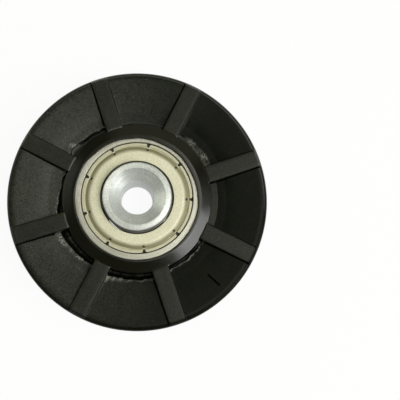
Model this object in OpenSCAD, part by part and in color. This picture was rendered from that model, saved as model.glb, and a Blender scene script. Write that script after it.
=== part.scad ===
// V groove wheel: a moulded nylon rope wheel on a shielded ball bearing,
// with a countersunk bush pressed through the inner ring.
// Millimetres. Z is the wheel's axis, the countersunk side faces +Z, and the
// origin lies on the axis in the middle plane of the groove.

/* [Wheel] */
// Outside diameter over the rims
wheel_d = 50; // [48:0.5:60]
// Thickness over the flat faces of the two rims
rim_w = 8.7; // [8.5:0.1:10]
// Rounding of each rim's outer corner
rim_corner_r = 0.9; // [0.5:0.1:1.1]
// Width of the flat band inside the rounded corner
rim_band_w = 0.5; // [0.2:0.1:1.5]
// How far each face sinks from the rim to the hub
dish_depth = 1.9; // [0.8:0.1:2.2]

/* [Groove] */
// Depth of the groove below the rims
groove_depth = 5.65; // [4.5:0.05:6]
// Radius of the rounded root
groove_root_r = 1.85; // [1.5:0.05:2]
// Angle of each wall from the wheel's middle plane
groove_wall_angle = 14.3; // [10:0.1:16]
// Rounding where the groove meets the rim
groove_edge_r = 0.25; // [0.1:0.05:0.35]

/* [Ribs] */
// Ribs on each face
rib_count = 8; // [4:1:12]
// Width of a rib at its top
rib_w = 3.2; // [2:0.1:4]
// Height of a rib above the rim's flat face
rib_h = 0.3; // [0.15:0.05:0.6]
// Bevel along a rib's top edges
rib_edge = 0.18; // [0.05:0.01:0.25]
// Draft on each side of a rib
rib_draft = 0.12; // [0:0.02:0.2]
// How far a rib's end stays inside the rim's edge
rib_end_gap = 0.6; // [0.4:0.05:1]
// Run of the slope at a rib's outer end
rib_end_run = 0.35; // [0.2:0.05:0.6]
// How far a rib's inner end runs in over the hub's edge
rib_overlap = 0.25; // [0.15:0.05:0.5]
// How far a rib's inner end stands over the hub's edge
rib_rise = 0.15; // [0.1:0.01:0.3]
// How deep a rib is rooted below the face
rib_foot = 0.4; // [0.2:0.05:0.6]
// Direction of the first rib on the front face
front_rib_angle = 17.9; // [0:0.1:45]
// How far the rear ribs are turned from the front ones
rear_rib_turn = 12.4; // [0:0.1:45]

/* [Hub] */
// Wall of the hub around the bearing
collar_wall = 2.35; // [1.8:0.05:3]
// Rise of the hub's lip over the bearing's front face
lip_rise = 0.35; // [0.2:0.05:0.6]
// How far the front lip grips over the bearing's edge
lip_cover = 0.2; // [0.1:0.02:0.28]
// Width of the flat on top of the lip
lip_flat_w = 0.3; // [0.2:0.05:0.8]
// How far the hub's top falls from the lip to its edge
collar_fall = 0.7; // [0.3:0.05:0.8]
// Width of the channel around the hub
moat_w = 1.05; // [0.8:0.05:1.6]
// Depth of the channel below the dished face
moat_depth = 0.55; // [0.3:0.05:0.8]
// Run of the hub's side down to the channel's floor
hub_side_run = 0.35; // [0.2:0.05:0.4]
// Run of the channel's outer side up to the dished face
moat_side_run = 0.3; // [0.1:0.05:0.4]
// Width of the shoulder behind the bearing
shoulder_w = 1; // [0.6:0.1:1.2]

/* [Bearing] */
// Outside diameter of the bearing
bearing_d = 24; // [23.5:0.1:26]
// Bore of the inner ring
bearing_bore_d = 9; // [8.6:0.1:9.6]
// Width of the bearing
bearing_w = 7; // [6.8:0.1:7.2]
// How far the bearing sits forward of the middle plane
bearing_shift = 0.5; // [0.4:0.05:0.7]
// Bevel on the edges of both rings
ring_chamfer = 0.35; // [0.3:0.01:0.4]
// Diameter of the circle that the ball centres lie on
pitch_d = 16.5; // [16.3:0.1:16.7]
// Diameter of a ball
ball_d = 3.97; // [3.9:0.01:4]
// Number of balls
ball_count = 7; // [6:1:8]
// Running clearance between a ball and its races
ball_clearance = 0.03; // [0.02:0.005:0.05]
// Depth of each race below its shoulder
race_depth = 0.63; // [0.5:0.01:0.65]

/* [Shields] */
// Thickness of the pressed sheet
shield_t = 0.25; // [0.2:0.01:0.3]
// Radial gap between a shield and the inner ring
shield_gap = 0.15; // [0.1:0.01:0.2]
// How far the flat of a shield lies below the ring's face
shield_recess = 0.06; // [0.02:0.01:0.1]
// Depth of the pressed step outside the flat
shield_step = 0.38; // [0.25:0.01:0.45]
// Width of the sloping step
shield_step_w = 1.15; // [0.9:0.05:1.3]
// Width of the rolled edge that is crimped into the outer ring
crimp_w = 0.3; // [0.26:0.01:0.34]
// Height of the rolled edge
crimp_h = 0.2; // [0.15:0.01:0.25]
// Wall of the outer ring outside the shield
shield_seat_wall = 1.35; // [1.3:0.01:1.45]
// Slits in the rolled edge
crimp_slits = 9; // [6:1:12]
// Width of a slit
slit_w = 0.22; // [0.15:0.01:0.3]
// Direction of the first slit
slit_angle = -2.5; // [-20:0.5:20]

/* [Cage] */
// Thickness of the cage ribbon
cage_t = 0.35; // [0.25:0.01:0.4]
// Radial width of the cage ribbon
cage_w = 1.2; // [1:0.05:1.4]
// Clearance between a ball and its pocket
pocket_clearance = 0.06; // [0.04:0.01:0.1]
// Diameter of a rivet
rivet_d = 0.7; // [0.6:0.05:0.8]
// Diameter of a rivet's head
rivet_head_d = 1.1; // [1:0.05:1.2]
// Height of a rivet's head
rivet_head_h = 0.25; // [0.2:0.01:0.3]

/* [Bush] */
// Width of the head's ring outside the countersink
head_ring_w = 1.2; // [0.6:0.05:1.4]
// Metal left between the countersink and the bearing's bore
sink_wall = 0.6; // [0.3:0.05:0.8]
// How far the shank stands out behind the bearing
bush_tail = 2.5; // [2:0.1:4]
// Hole through the bush
bush_hole_d = 6.6; // [6.4:0.1:6.8]
// Width of the countersink at the head's face
sink_d = 10.8; // [10.5:0.05:11.4]
// Full angle of the countersink
sink_angle = 90; // [88:1:94]
// Bevel on the head's outer edge
head_bevel = 0.25; // [0.1:0.05:0.3]
// Bevels at the end of the shank
tail_bevel = 0.25; // [0.1:0.05:0.3]

/* [Hidden] */
$fn = 96;

// Steps in a rounded corner of a turned outline
corner_steps = 6;
// Steps in the groove's root and in a bearing race
race_steps = 16;
// Overlap of cutting tools past the faces they open
cut = 0.1;

// Wheel
wheel_r = wheel_d / 2;
rim_z = rim_w / 2;
corner_r_pos = wheel_r - rim_corner_r;
root_centre_r = wheel_r - groove_depth + groove_root_r;
wall_start = [root_centre_r - groove_root_r * sin(groove_wall_angle),
              groove_root_r * cos(groove_wall_angle)];
edge_centre_r = wheel_r - groove_edge_r;

// Bearing
ring_r = bearing_d / 2;
front_face_z = bearing_shift + bearing_w / 2;
rear_face_z = bearing_shift - bearing_w / 2;
pitch_r = pitch_d / 2;
race_r = ball_d / 2 + ball_clearance;
inner_land_r = pitch_r - race_r + race_depth;
outer_land_r = pitch_r + race_r - race_depth;
shield_bore_r = inner_land_r + shield_gap;
shield_seat_r = ring_r - shield_seat_wall;
shield_flat_z = bearing_w / 2 - shield_recess;
shield_foot_z = shield_flat_z - shield_step;
seat_ledge_z = shield_foot_z - shield_t;

// Hub
lip_z = front_face_z + lip_rise;
lip_r = ring_r - lip_cover;
collar_r = ring_r + collar_wall;
collar_edge_z = lip_z - collar_fall;
moat_r = collar_r + moat_w;
dish_z = rim_z - dish_depth;
moat_z = dish_z - moat_depth;
shoulder_r = ring_r - shoulder_w;

// Ribs
rib_z = rim_z + rib_h;
rib_start_r = collar_r - rib_overlap;
rib_end_r = wheel_r - rib_end_gap;
rib_start_z = collar_edge_z + rib_rise;
rib_slope = atan((rib_z - rib_start_z) / (rib_end_r - rib_start_r));

// Cage
cage_in_r = pitch_r - cage_w / 2;
cage_out_r = pitch_r + cage_w / 2;
pocket_r = ball_d / 2 + pocket_clearance;

// Bush
bush_r = bearing_bore_d / 2;
bush_hole_r = bush_hole_d / 2;
sink_r = sink_d / 2;
sink_depth = (sink_r - bush_hole_r) / tan(sink_angle / 2);
bush_head_r = sink_r + head_ring_w;
bush_head_t = (sink_r - bush_r + sink_wall) / tan(sink_angle / 2);
bush_front_z = front_face_z + bush_head_t;
bush_rear_z = rear_face_z - bush_tail;

// Points of an arc about a centre, from one angle to another
function arc(centre, r, from, to, steps) =
    [for (i = [0 : steps])
        let (a = from + (to - from) * i / steps)
        centre + r * [cos(a), sin(a)]];

// An outline turned over to the other side of the middle plane
function turned_over(points) =
    [for (i = [len(points) - 1 : -1 : 0]) [points[i][0], -points[i][1]]];

// Height of the groove's front wall at a radius
function wall_z(r) = wall_start[1] + (r - wall_start[0]) * tan(groove_wall_angle);

// Outer half of a face: channel, dish, rim corner and groove wall
face_outline = concat(
    [[lip_r + lip_cover + lip_flat_w, lip_z],
     [collar_r - 0.15, collar_edge_z + 0.02],
     [collar_r, collar_edge_z - 0.12],
     [collar_r + hub_side_run, moat_z],
     [moat_r - moat_side_run, moat_z],
     [moat_r, dish_z],
     [corner_r_pos - rim_band_w, rim_z]],
    arc([corner_r_pos, rim_z - rim_corner_r], rim_corner_r, 90, 0, corner_steps),
    arc([edge_centre_r, wall_z(edge_centre_r) + groove_edge_r / cos(groove_wall_angle)],
        groove_edge_r, 0, groove_wall_angle - 90, corner_steps)
);

wheel_outline = concat(
    [[ring_r, front_face_z - ring_chamfer],
     [lip_r, front_face_z - ring_chamfer + lip_cover],
     [lip_r, lip_z]],
    face_outline,
    arc([root_centre_r, 0], groove_root_r, 90 + groove_wall_angle, 270 - groove_wall_angle, race_steps),
    turned_over(face_outline),
    [[shoulder_r, -lip_z],
     [shoulder_r, rear_face_z],
     [ring_r, rear_face_z]]
);

// Section of a rib along its length, which the section across it cuts off at its top
rib_outline = [
    [rib_start_r, moat_z - rib_foot],
    [moat_r, moat_z - rib_foot],
    [corner_r_pos - rim_band_w, rim_z - rib_foot],
    [rib_end_r + rib_end_run, rim_z - rim_corner_r],
    [rib_end_r + rib_end_run, rim_z - rib_h],
    [rib_end_r, rib_z - rib_edge],
    [rib_end_r - 2 * rib_edge, rib_z + rib_edge],
    [rib_start_r + 2 * rib_edge, rib_start_z + rib_edge],
    [rib_start_r, rib_start_z - rib_edge]
];

// Section of a rib across its width, with its top at height 0
rib_section = [
    [-rib_w / 2 - rib_draft, -rib_z],
    [rib_w / 2 + rib_draft, -rib_z],
    [rib_w / 2, -rib_edge],
    [rib_w / 2 - rib_edge, 0],
    [rib_edge - rib_w / 2, 0],
    [-rib_w / 2, -rib_edge]
];

// The ribs of one face, whose tops slope down to the hub's edge
module ribs(first_angle) {
    for (i = [0 : rib_count - 1])
        rotate([0, 0, first_angle + 360 * i / rib_count])
            intersection() {
                rotate([90, 0, 0]) linear_extrude(height = 2 * rib_w, center = true) polygon(rib_outline);
                translate([rib_end_r, 0, rib_z])
                    rotate([0, -rib_slope, 0]) rotate([90, 0, 90])
                        linear_extrude(height = wheel_d, center = true) polygon(rib_section);
            }
}

module wheel_body() {
    color("#2b2c28")
    union() {
        rotate_extrude() polygon(wheel_outline);
        ribs(front_rib_angle);
        mirror([0, 0, 1]) ribs(front_rib_angle + rear_rib_turn);
    }
}

// Inside of the outer ring from its middle to the front face
outer_ring_half = concat(
    arc([pitch_r, 0], race_r, 0, asin(sqrt(1 - pow(1 - race_depth / race_r, 2))), race_steps / 2),
    [[outer_land_r, seat_ledge_z],
     [shield_seat_r, seat_ledge_z],
     [shield_seat_r, bearing_w / 2],
     [ring_r - ring_chamfer, bearing_w / 2],
     [ring_r, bearing_w / 2 - ring_chamfer]]
);

module bearing_outer_ring() {
    color("#beb7ac")
    translate([0, 0, bearing_shift])
        rotate_extrude() polygon(concat(outer_ring_half, turned_over(outer_ring_half)));
}

// Outside of the inner ring from its middle to the front face
inner_ring_half = concat(
    arc([pitch_r, 0], race_r, 180, 180 - asin(sqrt(1 - pow(1 - race_depth / race_r, 2))), race_steps / 2),
    [[inner_land_r, bearing_w / 2 - ring_chamfer],
     [inner_land_r - ring_chamfer, bearing_w / 2],
     [bearing_bore_d / 2 + ring_chamfer, bearing_w / 2],
     [bearing_bore_d / 2, bearing_w / 2 - ring_chamfer]]
);

module bearing_inner_ring() {
    color("#8f8c84")
    translate([0, 0, bearing_shift])
        rotate_extrude() polygon(concat(inner_ring_half, turned_over(inner_ring_half)));
}

// Top surface of a shield, from its rolled edge to its bore
shield_top = [
    [shield_seat_r, shield_foot_z],
    [shield_seat_r - crimp_w / 4, shield_foot_z + crimp_h],
    [shield_seat_r - crimp_w * 3 / 4, shield_foot_z + crimp_h],
    [shield_seat_r - crimp_w, shield_foot_z],
    [shield_seat_r - crimp_w - 0.1, shield_foot_z],
    [shield_seat_r - crimp_w - shield_step_w, shield_flat_z - 0.04],
    [shield_seat_r - crimp_w - shield_step_w - 0.15, shield_flat_z],
    [shield_bore_r + 0.08, shield_flat_z],
    [shield_bore_r, shield_flat_z - 0.08]
];

// One shield as pressed, facing +Z, with its slits
module shield() {
    difference() {
        rotate_extrude()
            polygon(concat(shield_top, [for (i = [len(shield_top) - 1 : -1 : 0])
                [shield_top[i][0], min(shield_top[i][1], shield_flat_z) - shield_t]]));
        for (i = [0 : crimp_slits - 1])
            rotate([0, 0, slit_angle + 360 * i / crimp_slits])
                translate([shield_seat_r - crimp_w, -slit_w / 2, shield_foot_z - shield_t - cut])
                    cube([crimp_w + cut, slit_w, shield_t + crimp_h + 2 * cut]);
    }
}

module shield_front() {
    color("#dcd8bc")
    translate([0, 0, bearing_shift]) shield();
}

module shield_rear() {
    color("#dcd8bc")
    translate([0, 0, bearing_shift]) mirror([0, 0, 1]) shield();
}

// A child repeated at every ball, or half a space further round
module at_balls(half_step = 0) {
    for (i = [0 : ball_count - 1])
        rotate([0, 0, 360 * (i + half_step) / ball_count])
            translate([pitch_r, 0, 0]) children();
}

// A round bar through every ball's place, pointing at the axis
module radial_bars(r) {
    at_balls() rotate([0, 90, 0]) cylinder(r = r, h = 2 * cage_w, center = true);
}

// Half of the riveted cage: a ribbon that bulges over every ball
module cage_half() {
    intersection() {
        rotate_extrude() translate([cage_in_r, 0]) square([cage_w, pocket_r + cage_t]);
        difference() {
            union() {
                cylinder(r = cage_out_r + cage_w, h = cage_t);
                radial_bars(pocket_r + cage_t);
            }
            radial_bars(pocket_r);
            at_balls(0.5) translate([0, 0, -cut]) cylinder(d = rivet_d, h = cage_t + 2 * cut);
        }
    }
}

module cage_front() {
    color("#a7a49a")
    translate([0, 0, bearing_shift]) cage_half();
}

module cage_rear() {
    color("#a7a49a")
    translate([0, 0, bearing_shift]) mirror([0, 0, 1]) cage_half();
}

module cage_rivets() {
    color("#b5b2a8")
    translate([0, 0, bearing_shift])
        at_balls(0.5) {
            cylinder(d = rivet_d, h = 2 * cage_t, center = true);
            translate([0, 0, cage_t]) cylinder(d = rivet_head_d, h = rivet_head_h);
            translate([0, 0, -cage_t - rivet_head_h]) cylinder(d = rivet_head_d, h = rivet_head_h);
        }
}

// One ball of the ring, numbered from 1
module ball(number) {
    color("#c9c9c6")
    translate([0, 0, bearing_shift])
        rotate([0, 0, 360 * (number - 1) / ball_count])
            translate([pitch_r, 0, 0]) sphere(d = ball_d);
}

bush_outline = [
    [bush_hole_r, bush_front_z - sink_depth],
    [sink_r, bush_front_z],
    [bush_head_r - head_bevel, bush_front_z],
    [bush_head_r, bush_front_z - head_bevel],
    [bush_head_r, front_face_z],
    [bush_r, front_face_z],
    [bush_r, bush_rear_z + tail_bevel],
    [bush_r - tail_bevel, bush_rear_z],
    [bush_hole_r + tail_bevel, bush_rear_z],
    [bush_hole_r, bush_rear_z + tail_bevel]
];

module bush() {
    color("#c3c6c4")
    rotate_extrude() polygon(bush_outline);
}

wheel_body();
bearing_outer_ring();
bearing_inner_ring();
shield_front();
shield_rear();
cage_front();
cage_rear();
cage_rivets();
bush();
for (i = [1 : ball_count])
    ball(i);
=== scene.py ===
"""Looks of a moulded v groove wheel on a shielded ball bearing.

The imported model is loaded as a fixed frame. The moulded wheel, the outer and inner rings, the two
shields and the bush are made again as fine meshes with their rounded edges, slits and flash, in the
places of their solids. The cage, rivets and balls keep their solids and get a finish.

Sizes in the classes are millimetres about the wheel's axis, which is +Z. Meshes are made in metres.
"""

from __future__ import annotations

import logging
import math
from dataclasses import dataclass, field
from enum import Enum
from typing import Sequence

import bpy
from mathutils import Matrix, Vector, noise


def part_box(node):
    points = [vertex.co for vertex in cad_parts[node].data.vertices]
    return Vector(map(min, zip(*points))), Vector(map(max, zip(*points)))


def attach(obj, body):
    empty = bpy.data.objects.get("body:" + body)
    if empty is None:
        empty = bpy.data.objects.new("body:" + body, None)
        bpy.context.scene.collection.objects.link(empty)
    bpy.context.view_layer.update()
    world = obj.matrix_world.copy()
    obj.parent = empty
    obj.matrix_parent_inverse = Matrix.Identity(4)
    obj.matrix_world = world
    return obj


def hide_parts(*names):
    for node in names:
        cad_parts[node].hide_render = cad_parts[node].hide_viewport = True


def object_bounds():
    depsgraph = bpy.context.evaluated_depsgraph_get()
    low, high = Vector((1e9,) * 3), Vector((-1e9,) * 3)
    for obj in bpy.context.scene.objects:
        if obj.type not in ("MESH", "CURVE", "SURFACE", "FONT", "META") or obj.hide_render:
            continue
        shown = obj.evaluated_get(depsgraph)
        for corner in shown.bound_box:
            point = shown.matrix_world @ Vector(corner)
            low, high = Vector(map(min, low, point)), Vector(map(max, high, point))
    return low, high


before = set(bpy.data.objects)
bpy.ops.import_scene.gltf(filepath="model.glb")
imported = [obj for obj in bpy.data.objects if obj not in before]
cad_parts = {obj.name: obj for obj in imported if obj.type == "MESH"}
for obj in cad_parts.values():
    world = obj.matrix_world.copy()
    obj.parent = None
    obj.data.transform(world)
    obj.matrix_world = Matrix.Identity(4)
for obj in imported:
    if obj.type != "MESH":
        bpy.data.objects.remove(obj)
cad_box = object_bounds()

LOG = logging.getLogger("v_groove_wheel")
MM = 0.001
TAU = 2.0 * math.pi

Profile = list[tuple[float, float]]
Corner = tuple[float, float, float]
Colour = tuple[float, float, float]


# ---------------------------------------------------------------------------------------------
# Outlines and meshes
# ---------------------------------------------------------------------------------------------


class Side(Enum):
    """The two faces of the wheel."""

    FRONT = 1
    REAR = -1


def around(r: float, angle: float, z: float) -> Vector:
    """The point at a distance from the axis, an angle in radians and a height."""
    return Vector((r * math.cos(angle), r * math.sin(angle), z))


def between(value: float, low: float, high: float) -> float:
    """A smooth 0 to 1 as the value goes from low to high."""
    t = min(max((value - low) / (high - low), 0.0), 1.0)
    return t * t * (3.0 - 2.0 * t)


def bell(value: float, middle: float, width: float) -> float:
    """A smooth hump, 1 at its middle and about a third at its width from there."""
    return math.exp(-(((value - middle) / width) ** 2))


def wobble(angle: float, rate: float, seed: float) -> float:
    """A repeatable value, about -1 to 1, that wanders at a rate round the axis; the seed picks which."""
    return noise.noise(around(rate, angle, seed)) * 2.0


def arc(centre: tuple[float, float], radius: float, start: float, end: float, steps: int) -> Profile:
    """Points of an arc.

    Args:
        centre: radius and height of the arc's centre.
        radius: radius of the arc.
        start: first angle in degrees, from the outward direction towards +Z.
        end: last angle in degrees.
        steps: number of equal steps.

    Returns:
        The points, first to last.
    """
    points = []
    for i in range(steps + 1):
        angle = math.radians(start + (end - start) * i / steps)
        points.append((centre[0] + radius * math.cos(angle), centre[1] + radius * math.sin(angle)))
    return points


def rounded(corners: Sequence[Corner], steps: int = 4, closed: bool = False) -> Profile:
    """An outline whose corners are rounded.

    Args:
        corners: radius, height and rounding of each corner in order.
        steps: steps in each rounding.
        closed: whether the last corner joins the first.

    Returns:
        The outline's points.
    """
    points: Profile = []
    count = len(corners)
    for i, (r, z, rounding) in enumerate(corners):
        ends = not closed and i in (0, count - 1)
        if rounding <= 0.0 or ends:
            points.append((r, z))
            continue
        here = Vector((r, z))
        back = Vector(corners[i - 1][:2]) - here
        ahead = Vector(corners[(i + 1) % count][:2]) - here
        turn = back.angle(ahead)
        reach = min(rounding / math.tan(turn / 2), 0.49 * back.length, 0.49 * ahead.length)
        first = here + back.normalized() * reach
        last = here + ahead.normalized() * reach
        for k in range(steps + 1):
            t = k / steps
            point = first * (1 - t) ** 2 + here * 2 * t * (1 - t) + last * t * t
            points.append((point.x, point.y))
    return points


def subdivided(profile: Profile, longest: float) -> Profile:
    """An outline with no stretch longer than a given length.

    Args:
        profile: the outline's points.
        longest: greatest distance between neighbours.

    Returns:
        The outline with the points added.
    """
    points: Profile = [profile[0]]
    for (r0, z0), (r1, z1) in zip(profile, profile[1:]):
        pieces = max(1, math.ceil(math.hypot(r1 - r0, z1 - z0) / longest))
        for k in range(1, pieces + 1):
            points.append((r0 + (r1 - r0) * k / pieces, z0 + (z1 - z0) * k / pieces))
    return points


def face_outwards(piece: bpy.types.Object) -> None:
    """Turns a closed piece's faces outwards, judged by the sign of its volume.

    Args:
        piece: the closed mesh object.
    """
    mesh = piece.data
    mesh.calc_loop_triangles()
    volume = 0.0
    for triangle in mesh.loop_triangles:
        a, b, c = (mesh.vertices[i].co for i in triangle.vertices)
        volume += a.dot(b.cross(c))
    if volume < 0:
        mesh.flip_normals()


def woven(
    name: str,
    rows: Sequence[Sequence[Vector]],
    sharp: float,
    marks: Sequence[Sequence[float]] | None = None,
) -> bpy.types.Object:
    """A closed mesh woven from rows of points that each run round the axis.

    Args:
        name: name of the object.
        rows: equally long rows of points in millimetres; the last row joins the first.
        sharp: angle in degrees past which an edge stays sharp.
        marks: how torn each point is, or how dark it is painted as shade, -1 to 1, for the finish to read.

    Returns:
        The new object, linked to the scene.
    """
    width = len(rows[0])
    faces = []
    for i in range(len(rows)):
        low, high = i * width, ((i + 1) % len(rows)) * width
        for j in range(width):
            k = (j + 1) % width
            faces.append((low + j, low + k, high + k, high + j))
    mesh = bpy.data.meshes.new(name)
    mesh.from_pydata([tuple(point * MM) for row in rows for point in row], [], faces)
    mesh.polygons.foreach_set("use_smooth", [True] * len(faces))
    mesh.set_sharp_from_angle(angle=math.radians(sharp))
    if marks is not None:
        layer = mesh.attributes.new("mark", "FLOAT", "POINT")
        layer.data.foreach_set("value", [mark for row in marks for mark in row])
    piece = bpy.data.objects.new(name, mesh)
    bpy.context.scene.collection.objects.link(piece)
    face_outwards(piece)
    return piece


def turned(name: str, outline: Profile, segments: int, sharp: float = 40.0) -> bpy.types.Object:
    """A piece turned in equal segments from a closed outline, sharp at edges past an angle in degrees."""
    angles = [TAU * j / segments for j in range(segments)]
    return woven(name, [[around(r, angle, z) for angle in angles] for r, z in outline], sharp)


# ---------------------------------------------------------------------------------------------
# Finishes
# ---------------------------------------------------------------------------------------------


class Value:
    """A number, colour or shader that comes out of a node, with the usual sums on it."""

    def __init__(self, nodes: Nodes, socket: bpy.types.NodeSocket) -> None:
        """Keeps the material's nodes and the socket where the value comes out."""
        self.nodes = nodes
        self.socket = socket

    def math(self, operation: str, *others: Value | float) -> Value:
        """The result of a Math node on this value and others that go in after it."""
        return self.nodes.made("ShaderNodeMath", 0, dict(enumerate((self, *others))), operation=operation)

    def __add__(self, other: Value | float) -> Value:
        """This value with another added."""
        return self.math("ADD", other)

    def __sub__(self, other: Value | float) -> Value:
        """This value less another."""
        return self.math("SUBTRACT", other)

    def __rsub__(self, other: float) -> Value:
        """A number less this value."""
        return self.nodes.made("ShaderNodeMath", 0, {0: other, 1: self}, operation="SUBTRACT")

    def __mul__(self, other: Value | float) -> Value:
        """This value times another."""
        return self.math("MULTIPLY", other)

    def most(self, other: Value | float) -> Value:
        """The greater of this value and another."""
        return self.math("MAXIMUM", other)

    def spread(self, low: float, high: float, to_low: float = 0.0, to_high: float = 1.0) -> Value:
        """This value carried over from one range to another, and held at the new range's ends."""
        inputs = {"Value": self, "From Min": low, "From Max": high, "To Min": to_low, "To Max": to_high}
        return self.nodes.made("ShaderNodeMapRange", "Result", inputs)


Input = Value | float | Colour


def feed(given: Input, socket: bpy.types.NodeSocket) -> None:
    """Sets a socket to a number or colour, or links a value to it.

    Args:
        given: what goes in.
        socket: the socket that it goes into.
    """
    if isinstance(given, Value):
        given.nodes.tree.links.new(given.socket, socket)
    else:
        socket.default_value = (*given, 1.0) if isinstance(given, tuple) else given


def fill(node: bpy.types.Node, inputs: dict[str | int, Input]) -> None:
    """Feeds a node's sockets, given by their names or numbers."""
    for key, given in inputs.items():
        feed(given, node.inputs[key])


class Nodes:
    """The shader nodes of one material."""

    def __init__(self, name: str) -> None:
        """Makes a material with a bare shader.

        Args:
            name: name of the material.
        """
        self.material = bpy.data.materials.new(name)
        self.material.use_nodes = True
        self.tree = self.material.node_tree
        self.tree.nodes.clear()
        self.surface = self.tree.nodes.new("ShaderNodeOutputMaterial").inputs["Surface"]
        self.shader = self.made("ShaderNodeBsdfPrincipled", "BSDF", {})
        feed(self.shader, self.surface)
        self.place = self.made("ShaderNodeTexCoord", "Object", {})

    def made(self, kind: str, output: str | int, inputs: dict[str | int, Input], **settings: str) -> Value:
        """One output of a new node.

        Args:
            kind: the node's type.
            output: name or number of the output.
            inputs: what goes into its sockets, by their names or numbers.
            settings: the node's own settings.

        Returns:
            What comes out.
        """
        node = self.tree.nodes.new(kind)
        for key, setting in settings.items():
            setattr(node, key, setting)
        fill(node, inputs)
        return Value(self, node.outputs[output])

    def parts(self, kind: str, names: Sequence[str | int], inputs: dict[str | int, Input]) -> list[Value]:
        """Several outputs of one new node, in the order of their names or numbers."""
        node = self.made(kind, names[0], inputs).socket.node
        return [Value(self, node.outputs[name]) for name in names]

    def finish(self, inputs: dict[str, Input]) -> bpy.types.Material:
        """The finished material, with its shader's sockets filled in by their names."""
        fill(self.shader.socket.node, inputs)
        return self.material

    def polar(self) -> tuple[Value, Value, Value]:
        """Distance from the axis in millimetres, angle in radians and height in millimetres."""
        x, y, z = self.parts("ShaderNodeSeparateXYZ", (0, 1, 2), {0: self.place})
        return (x * x + y * y).math("SQRT") * (1.0 / MM), y.math("ARCTAN2", x), z * (1.0 / MM)

    def vector(self, x: Value | float, y: Value | float = 0.0, z: Value | float = 0.0) -> Value:
        """A vector from three values or numbers."""
        return self.made("ShaderNodeCombineXYZ", 0, {0: x, 1: y, 2: z})

    def noise(
        self, scale: float, detail: float = 3.0, rough: float = 0.5, where: Value | None = None
    ) -> Value:
        """A noise, about 0 to 1, read at a place, or else at the piece's own place in metres."""
        inputs = {"Scale": scale, "Detail": detail, "Roughness": rough, "Vector": where or self.place}
        return self.made("ShaderNodeTexNoise", "Fac", inputs)

    def mix(self, share: Value, first: Value | Colour, second: Value | Colour) -> Value:
        """Two colours mixed, by the share of the second."""
        return self.made("ShaderNodeMix", 2, {0: share, 6: first, 7: second}, data_type="RGBA")

    def segment(self, ends: tuple[float, float, float, float]) -> Value:
        """Distance in millimetres from a straight line between two places seen along the axis.

        Args:
            ends: x and y of the first end, then of the second, in millimetres.

        Returns:
            The distance.
        """
        x0, y0, x1, y1 = ends
        run_x, run_y = x1 - x0, y1 - y0
        square = run_x ** 2 + run_y ** 2
        across, up = self.parts("ShaderNodeSeparateXYZ", (0, 1), {0: self.place})
        x, y = across * (1.0 / MM) - x0, up * (1.0 / MM) - y0
        along = (x * (run_x / square) + y * (run_y / square)).most(0.0).math("MINIMUM", 1.0)
        x, y = x - along * run_x, y - along * run_y
        return (x * x + y * y).math("SQRT")

    def mark(self) -> Value:
        """How torn the surface is, or how dark it is painted as shade, -1 to 1."""
        return self.made("ShaderNodeAttribute", "Fac", {}, attribute_name="mark")

    def bump(self, height: Value, distance: float, strength: float, under: Value | None = None) -> Value:
        """A normal that follows a height.

        Args:
            height: the height, about 0 to 1.
            distance: height of 1, in millimetres.
            strength: share of the effect.
            under: a normal that this one adds to.

        Returns:
            The normal.
        """
        inputs = {"Strength": strength, "Distance": distance * MM, "Height": height}
        if under is not None:
            inputs["Normal"] = under
        return self.made("ShaderNodeBump", "Normal", inputs)


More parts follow.
